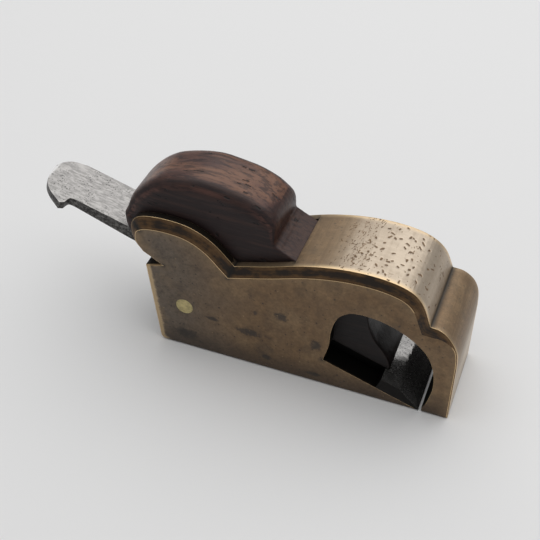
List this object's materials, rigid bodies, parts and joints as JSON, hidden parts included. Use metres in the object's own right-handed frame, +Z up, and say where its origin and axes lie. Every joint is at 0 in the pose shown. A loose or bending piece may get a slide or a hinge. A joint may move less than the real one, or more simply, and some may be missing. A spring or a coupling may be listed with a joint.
{
  "type": "bullnose rebate plane",
  "caption": "Small cast bullnose rebate plane with a chamfered hump and lobe, open-sided throat, full-width bevel-up iron and a rounded wooden wedge that locks it.",
  "frame": {"origin": "on the sole, at the middle of its length and width", "axes": "+X towards the toe, +Y across the body, +Z up"},
  "size_m": [0.1335, 0.0286, 0.0617],
  "materials": {
    "gunmetal": "aged cast gunmetal, worn bright on the edges",
    "bed_rosewood": "dark rosewood",
    "pin_brass": "filed flush",
    "iron_steel": "ground and lightly pitted",
    "wedge_rosewood": "handled rosewood, dark on the sides"
  },
  "bodies": {
    "plane_body": {"body_casting": "gunmetal", "bed_block": "bed_rosewood", "cross_pin": "pin_brass"},
    "iron": {"iron": "iron_steel"},
    "wedge": {"wedge": "wedge_rosewood"}
  },
  "joints": [
    {"name": "iron_slide", "type": "slide", "parent": "plane_body", "child": "iron", "axis": [0.9455, 0, -0.3256], "range_m": [-0.01, 0.0004]},
    {"name": "wedge_slide", "type": "slide", "parent": "plane_body", "child": "wedge", "axis": [-0.9455, 0, 0.3256], "range_m": [0, 0.09]}
  ]
}
